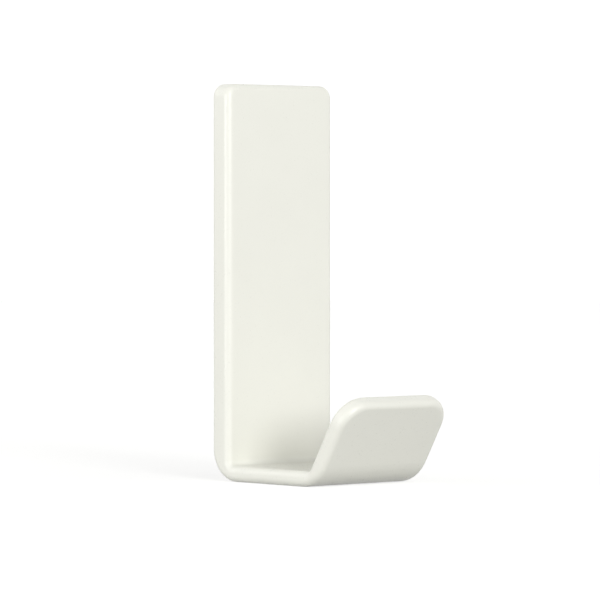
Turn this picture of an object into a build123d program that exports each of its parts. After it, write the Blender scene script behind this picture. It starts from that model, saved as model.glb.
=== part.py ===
"""Magnetic hook: a moulded J-shaped body with a magnetic sheet let into its back."""
import os
from math import cos, radians, sin

from build123d import *

# All sizes are in millimetres. The origin is the middle of the magnet's outer face,
# which meets the wall. X runs across the hook, -Y out into the room and Z up.

# Driving dimensions of the moulded body
width = 25.0
height = 70.0
plate_thickness = 4.6
base_thickness = 2.75
lip_thickness = 3.1
trough_depth = 20.7  # along the base, from the plate to the foot of the lip
lip_angle = 59.0  # above the horizontal
lip_length = 15.6  # up the lip's inner face, from its foot to its tip
heel_outer_radius = 5.7
heel_inner_radius = 0.9
toe_outer_radius = 7.3
toe_inner_radius = 1.1
top_corner_radius = 2.3
lip_corner_radius = 5.2
rim_radius = 1.2  # softens the whole rim, front and back

# Driving dimensions of the magnetic sheet and the pocket it is glued into
magnet_width = 20.8
magnet_height = 60.0
magnet_thickness = 1.5
magnet_corner_radius = 1.5
magnet_edge_radius = 0.15
magnet_proud = 0.3  # how far it stands out of the back, so that it alone meets the wall
magnet_foot = 7.5  # height of its lower edge above the underside of the base
pocket_gap = 0.1  # all round the sheet

# Planes that the body's outline is drawn from
plate_back_y = -magnet_proud
plate_front_y = plate_back_y - plate_thickness
underside_z = -magnet_foot - magnet_height / 2
base_top_z = underside_z + base_thickness
top_z = underside_z + height

# Lip: one direction up its slope, and one from its inner to its outer face
lip_up_y = -cos(radians(lip_angle))
lip_up_z = sin(radians(lip_angle))
lip_foot_y = plate_front_y - trough_depth
lip_tip_y = lip_foot_y + lip_length * lip_up_y
lip_tip_z = base_top_z + lip_length * lip_up_z
lip_back_tip_y = lip_tip_y - lip_thickness * lip_up_z
lip_back_tip_z = lip_tip_z + lip_thickness * lip_up_y
toe_y = lip_back_tip_y - (lip_back_tip_z - underside_z) * lip_up_y / lip_up_z

# The four bends of the outline
heel_outer = (plate_back_y, underside_z)
heel_inner = (plate_front_y, base_top_z)
toe_outer = (toe_y, underside_z)
toe_inner = (lip_foot_y, base_top_z)
bends = (
    (heel_outer, heel_outer_radius),
    (heel_inner, heel_inner_radius),
    (toe_outer, toe_outer_radius),
    (toe_inner, toe_inner_radius),
)

# Hook body: plate, base and lip moulded in one, thickest in the plate that holds
# the magnet, with tight bends inside the trough and full ones outside it.
with BuildPart() as hook_body:
    with BuildSketch(Plane.YZ) as outline:
        with BuildLine():
            Polyline(
                (plate_back_y, top_z),
                heel_outer,
                toe_outer,
                (lip_back_tip_y, lip_back_tip_z),
                (lip_tip_y, lip_tip_z),
                toe_inner,
                heel_inner,
                (plate_front_y, top_z),
                close=True,
            )
        make_face()
        for bend, radius in bends:
            fillet(outline.vertices().sort_by_distance(bend)[0], radius)
    extrude(amount=width / 2, both=True)

    # Round the two top corners of the plate, then the two of the lip's tip.
    plate_corners = hook_body.edges().filter_by(Axis.Y).group_by(Axis.Z)[-1]
    fillet(plate_corners, top_corner_radius)
    lip_normal = Axis((0, 0, 0), (0, -lip_up_z, lip_up_y))
    fillet(hook_body.edges().filter_by(lip_normal), lip_corner_radius)

    # Each upright edge of the plate runs on round the bends, the lip and the top in
    # one smooth loop, so the front pair and the back pair soften the whole rim.
    fillet(hook_body.edges().filter_by(Axis.Z), rim_radius)

    # Shallow pocket in the back, where the magnetic sheet is glued.
    with BuildSketch(Plane.XZ.offset(magnet_proud)):
        RectangleRounded(
            magnet_width + 2 * pocket_gap,
            magnet_height + 2 * pocket_gap,
            magnet_corner_radius + pocket_gap,
        )
    extrude(amount=magnet_thickness - magnet_proud, mode=Mode.SUBTRACT)

# Magnetic sheet: flexible magnet die-cut to a rounded rectangle, standing a little
# proud of the back.
with BuildPart() as magnet_sheet:
    with BuildSketch(Plane.XZ):
        RectangleRounded(magnet_width, magnet_height, magnet_corner_radius)
    extrude(amount=magnet_thickness)
    fillet(magnet_sheet.faces().sort_by(Axis.Y)[-1].edges(), magnet_edge_radius)

hook_body.part.label = "hook_body"
magnet_sheet.part.label = "magnet_sheet"

os.makedirs("parts", exist_ok=True)
export_step(hook_body.part, "parts/hook_body.step")
export_step(magnet_sheet.part, "parts/magnet_sheet.step")
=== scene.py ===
"""Magnetic hook, off-white, standing on a pale floor in soft studio light."""

from math import cos, pi, radians, sin

import bpy
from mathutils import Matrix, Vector


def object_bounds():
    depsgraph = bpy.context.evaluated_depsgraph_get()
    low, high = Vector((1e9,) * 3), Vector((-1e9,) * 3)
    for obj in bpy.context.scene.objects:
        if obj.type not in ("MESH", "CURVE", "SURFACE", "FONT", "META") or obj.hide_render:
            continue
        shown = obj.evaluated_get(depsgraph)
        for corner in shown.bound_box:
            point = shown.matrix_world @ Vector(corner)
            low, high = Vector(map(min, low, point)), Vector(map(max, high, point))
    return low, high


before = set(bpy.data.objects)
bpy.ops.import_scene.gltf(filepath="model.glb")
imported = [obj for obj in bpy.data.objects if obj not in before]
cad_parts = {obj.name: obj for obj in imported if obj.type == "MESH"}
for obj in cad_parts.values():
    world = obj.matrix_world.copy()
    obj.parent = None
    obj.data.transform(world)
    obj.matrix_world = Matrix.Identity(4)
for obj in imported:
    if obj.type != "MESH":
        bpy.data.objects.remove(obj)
cad_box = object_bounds()


# Hook body
# Back plate, base and lip moulded in one from ABS. The mould is finely eroded, so
# the skin is satin: it shows soft highlights along the rounded rim and no mirror.

ABS_COLOUR = "#EFEFE6"
ABS_SHADE = "#EEEEE5"
ABS_IOR = 1.52
ABS_ROUGHNESS = (0.27, 0.33)
ABS_GRAIN_MM = 0.35  # the eroded grain is nearer 0.1 mm: drawn coarser to show
ABS_GRAIN_DEPTH_MM = 0.003
ABS_GRAIN_RANGE = (0.3, 0.7)  # of the noise, between which the roughness changes
ABS_FLOW_MM = 9.0  # the slow change of tone as the melt filled the mould
ABS_FLOW_RANGE = (0.35, 0.65)  # of the noise, between which the tone changes
MM = 0.001


def linear(colour):
    """sRGB hex to the linear RGBA that Blender's colour sockets take."""
    shares = [int(colour[i : i + 2], 16) / 255 for i in (1, 3, 5)]
    rgb = [s / 12.92 if s <= 0.04045 else ((s + 0.055) / 1.055) ** 2.4 for s in shares]
    return (*rgb, 1.0)


def add_node(owner, kind, inputs=None, **settings):
    """Adds a node to a material or the world. An input is a value or a socket."""
    node = owner.node_tree.nodes.new(kind)
    for name, value in settings.items():
        setattr(node, name, value)
    for name, value in (inputs or {}).items():
        if isinstance(value, bpy.types.NodeSocket):
            owner.node_tree.links.new(value, node.inputs[name])
        else:
            node.inputs[name].default_value = value
    return node


def blank_material(name):
    """A material with an empty node tree."""
    material = bpy.data.materials.new(name)
    material.use_nodes = True
    material.node_tree.nodes.clear()
    return material


def cells(size_mm):
    """The texture scale that puts one cell on that size."""
    return 1 / (size_mm * MM)


abs_skin = blank_material("satin_moulded_abs")
place = add_node(abs_skin, "ShaderNodeTexCoord").outputs["Object"]
flow = add_node(
    abs_skin,
    "ShaderNodeTexNoise",
    {"Vector": place, "Scale": cells(ABS_FLOW_MM), "Detail": 3.0},
)
tone = add_node(abs_skin, "ShaderNodeValToRGB", {"Fac": flow.outputs["Fac"]})
shades = (ABS_SHADE, ABS_COLOUR)
for stop, spot_on_ramp, shade in zip(tone.color_ramp.elements, ABS_FLOW_RANGE, shades):
    stop.position = spot_on_ramp
    stop.color = linear(shade)
grain = add_node(
    abs_skin,
    "ShaderNodeTexNoise",
    {"Vector": place, "Scale": cells(ABS_GRAIN_MM), "Detail": 2.0},
)
gloss = add_node(
    abs_skin,
    "ShaderNodeMapRange",
    {
        "Value": grain.outputs["Fac"],
        "From Min": ABS_GRAIN_RANGE[0],
        "From Max": ABS_GRAIN_RANGE[1],
        "To Min": ABS_ROUGHNESS[0],
        "To Max": ABS_ROUGHNESS[1],
    },
)
relief = add_node(
    abs_skin,
    "ShaderNodeBump",
    {
        "Height": grain.outputs["Fac"],
        "Strength": 1.0,
        "Distance": ABS_GRAIN_DEPTH_MM * MM,
    },
)
shader = add_node(
    abs_skin,
    "ShaderNodeBsdfPrincipled",
    {
        "Base Color": tone.outputs["Color"],
        "Roughness": gloss.outputs["Result"],
        "IOR": ABS_IOR,
        "Normal": relief.outputs["Normal"],
    },
)
add_node(abs_skin, "ShaderNodeOutputMaterial", {"Surface": shader.outputs["BSDF"]})

hook_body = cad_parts["hook_body"]
hook_body.data.materials.clear()
hook_body.data.materials.append(abs_skin)


# Magnetic sheet
# Flexible magnet, ferrite powder in a rubber binder, rolled to a sheet, die-cut and
# glued into the pocket in the back. It is a matt brown-black with faint roller lines.

MAGNET_COLOUR = "#35302C"
MAGNET_DUST = "#504942"
MAGNET_IOR = 1.5
MAGNET_ROUGHNESS = 0.62
MAGNET_SPECK_MM = 0.4  # the powder is far finer: drawn coarser to show
MAGNET_LINE_MM = 1.2
MAGNET_LINE_DEPTH_MM = 0.01
MAGNET_LINE_SHARE = 0.15  # of the tone: the rest is specks
MAGNET_LINE_WANDER = 1.5
MAGNET_TONE_RANGE = (0.4, 0.7)  # of that mix, between which the tone changes
WAVE_TURN = 20  # radians of the wave texture to one unit, at a scale of 1

ferrite_rubber = blank_material("rolled_ferrite_rubber")
place = add_node(ferrite_rubber, "ShaderNodeTexCoord").outputs["Object"]
specks = add_node(
    ferrite_rubber,
    "ShaderNodeTexNoise",
    {"Vector": place, "Scale": cells(MAGNET_SPECK_MM), "Detail": 4.0},
)
roller_lines = add_node(
    ferrite_rubber,
    "ShaderNodeTexWave",
    {
        "Vector": place,
        "Scale": cells(MAGNET_LINE_MM) * 2 * pi / WAVE_TURN,
        "Distortion": MAGNET_LINE_WANDER,
        "Detail": 2.0,
    },
    bands_direction="X",
)
wear = add_node(
    ferrite_rubber,
    "ShaderNodeMix",
    {
        "Factor": MAGNET_LINE_SHARE,
        "A": specks.outputs["Fac"],
        "B": roller_lines.outputs["Fac"],
    },
)
tone = add_node(ferrite_rubber, "ShaderNodeValToRGB", {"Fac": wear.outputs["Result"]})
shades = (MAGNET_COLOUR, MAGNET_DUST)
for stop, spot_on_ramp, shade in zip(tone.color_ramp.elements, MAGNET_TONE_RANGE, shades):
    stop.position = spot_on_ramp
    stop.color = linear(shade)
relief = add_node(
    ferrite_rubber,
    "ShaderNodeBump",
    {
        "Height": roller_lines.outputs["Fac"],
        "Strength": 1.0,
        "Distance": MAGNET_LINE_DEPTH_MM * MM,
    },
)
shader = add_node(
    ferrite_rubber,
    "ShaderNodeBsdfPrincipled",
    {
        "Base Color": tone.outputs["Color"],
        "Roughness": MAGNET_ROUGHNESS,
        "IOR": MAGNET_IOR,
        "Normal": relief.outputs["Normal"],
    },
)
add_node(
    ferrite_rubber, "ShaderNodeOutputMaterial", {"Surface": shader.outputs["BSDF"]}
)

magnet_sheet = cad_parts["magnet_sheet"]
magnet_sheet.data.materials.clear()
magnet_sheet.data.materials.append(ferrite_rubber)


# Floor and backdrop
# A plain pale card runs level under the hook and one stands behind it. Both are seen
# whiter than the lamps make them, and least so round the hook, to keep its shadow.

CARD_COLOUR = "#B4B4B2"
CARD_LIFT = (0.71, 0.8)  # round the hook, and far from it
CARD_LIFT_REACH = (0.05, 0.35)  # metres from the hook between which it grows
CARD_SIDE = 6.0  # metres
FLOOR_GAP_MM = 0.02  # below the base, so that the two faces don't share a plane
BACKDROP_AWAY = 1.5  # metres
BACKDROP_AZIMUTH = 138  # straight behind the hook, seen from the camera

pale_card = blank_material("matt_pale_card")
path = add_node(pale_card, "ShaderNodeLightPath")
seen = path.outputs["Is Camera Ray"]
for ray in ("Is Glossy Ray", "Is Transmission Ray"):
    either = add_node(
        pale_card, "ShaderNodeMath", {0: seen, 1: path.outputs[ray]}, operation="MAXIMUM"
    )
    seen = either.outputs["Value"]
spot = add_node(pale_card, "ShaderNodeNewGeometry").outputs["Position"]
away = add_node(pale_card, "ShaderNodeVectorMath", {0: spot}, operation="LENGTH")
whiter = add_node(
    pale_card,
    "ShaderNodeMapRange",
    {
        "Value": away.outputs["Value"],
        "From Min": CARD_LIFT_REACH[0],
        "From Max": CARD_LIFT_REACH[1],
        "To Min": CARD_LIFT[0],
        "To Max": CARD_LIFT[1],
    },
)
lift = add_node(
    pale_card,
    "ShaderNodeMath",
    {0: seen, 1: whiter.outputs["Result"]},
    operation="MULTIPLY",
)
card = add_node(pale_card, "ShaderNodeBsdfDiffuse", {"Color": linear(CARD_COLOUR)})
glow = add_node(pale_card, "ShaderNodeEmission", {"Strength": lift.outputs["Value"]})
both = add_node(
    pale_card,
    "ShaderNodeAddShader",
    {0: card.outputs["BSDF"], 1: glow.outputs["Emission"]},
)
add_node(pale_card, "ShaderNodeOutputMaterial", {"Surface": both.outputs["Shader"]})


def direction(azimuth, elevation):
    """Unit vector from the hook to a place round it. Azimuth 0 is out into the room."""
    a, e = radians(azimuth), radians(elevation)
    return Vector((sin(a) * cos(e), -cos(a) * cos(e), sin(e)))


def stage_card(name, middle, facing):
    """A large square card that faces one way."""
    half = CARD_SIDE / 2
    mesh = bpy.data.meshes.new(name)
    corners = [(-half, -half, 0), (half, -half, 0), (half, half, 0), (-half, half, 0)]
    mesh.from_pydata(corners, [], [(0, 1, 2, 3)])
    mesh.materials.append(pale_card)
    flat = bpy.data.objects.new(name, mesh)
    flat.location = middle
    flat.rotation_euler = facing.to_track_quat("Z", "Y").to_euler()
    bpy.context.scene.collection.objects.link(flat)


floor_z = cad_box[0][2] - FLOOR_GAP_MM * MM
stage_card("floor", Vector((0, 0, floor_z)), Vector((0, 0, 1)))
behind = direction(BACKDROP_AZIMUTH, 0)
stage_card("backdrop", behind * BACKDROP_AWAY, -behind)


# Studio
# A soft box at the front, left and above, throws the lip's shadow on the plate's foot.
# Two more light the left side and the back. The surround is brightest at the horizon.

KEY_LAMP = {
    "azimuth": -17,
    "elevation": 14,
    "distance": 1.2,
    "width": 0.35,
    "height": 0.4,
    "power": 6.15,
}
SIDE_LAMP = {
    "azimuth": -95,
    "elevation": 6,
    "distance": 1.2,
    "width": 0.6,
    "height": 0.3,
    "power": 3.3,
}
BACK_LAMP = {
    "azimuth": -145,
    "elevation": 24,
    "distance": 1.2,
    "width": 0.8,
    "height": 0.8,
    "power": 1.7,
}
SURROUND = 1.2  # strength at the horizon
CEILING = 0.26  # strength straight above
SURROUND_COLOUR = "#FFFFFF"


def soft_box(name, azimuth, elevation, distance, width, height, power):
    """A rectangular area lamp that faces the hook, in metres and watts."""
    towards = direction(azimuth, elevation)
    lamp = bpy.data.lights.new(name, "AREA")
    lamp.shape = "RECTANGLE"
    lamp.size = width
    lamp.size_y = height
    lamp.energy = power
    holder = bpy.data.objects.new(name, lamp)
    holder.location = towards * distance
    holder.rotation_euler = towards.to_track_quat("Z", "Y").to_euler()
    bpy.context.scene.collection.objects.link(holder)


soft_box("key_soft_box", **KEY_LAMP)
soft_box("side_soft_box", **SIDE_LAMP)
soft_box("back_soft_box", **BACK_LAMP)

surround = bpy.data.worlds.new("studio_surround")
surround.use_nodes = True
surround.node_tree.nodes.clear()
ways = add_node(surround, "ShaderNodeTexCoord")
split = add_node(
    surround, "ShaderNodeSeparateXYZ", {"Vector": ways.outputs["Generated"]}
)
level = add_node(
    surround,
    "ShaderNodeMapRange",
    {"Value": split.outputs["Z"], "To Min": SURROUND, "To Max": CEILING},
)
sky = add_node(
    surround,
    "ShaderNodeBackground",
    {"Color": linear(SURROUND_COLOUR), "Strength": level.outputs["Result"]},
)
add_node(surround, "ShaderNodeOutputWorld", {"Surface": sky.outputs["Background"]})
bpy.context.scene.world = surround
bpy.context.scene.view_settings.view_transform = "Standard"


# Camera
# A long lens at the front left, just above level, as the photograph was taken. It is
# far enough away that upright and level edges stay nearly parallel.

VIEW_AZIMUTH = -42.1
VIEW_ELEVATION = 1.2
VIEW_DISTANCE = 0.736
VIEW_LENS_MM = 248.6
VIEW_SENSOR_MM = 36
VIEW_CENTRE = Vector((0.00248, -0.00718, -0.0057))

lens = bpy.data.cameras.new("camera")
lens.lens = VIEW_LENS_MM
lens.sensor_width = VIEW_SENSOR_MM
camera = bpy.data.objects.new("camera", lens)
view_from = direction(VIEW_AZIMUTH, VIEW_ELEVATION)
camera.location = VIEW_CENTRE + view_from * VIEW_DISTANCE
camera.rotation_euler = view_from.to_track_quat("Z", "Y").to_euler()
bpy.context.scene.collection.objects.link(camera)
bpy.context.scene.camera = camera
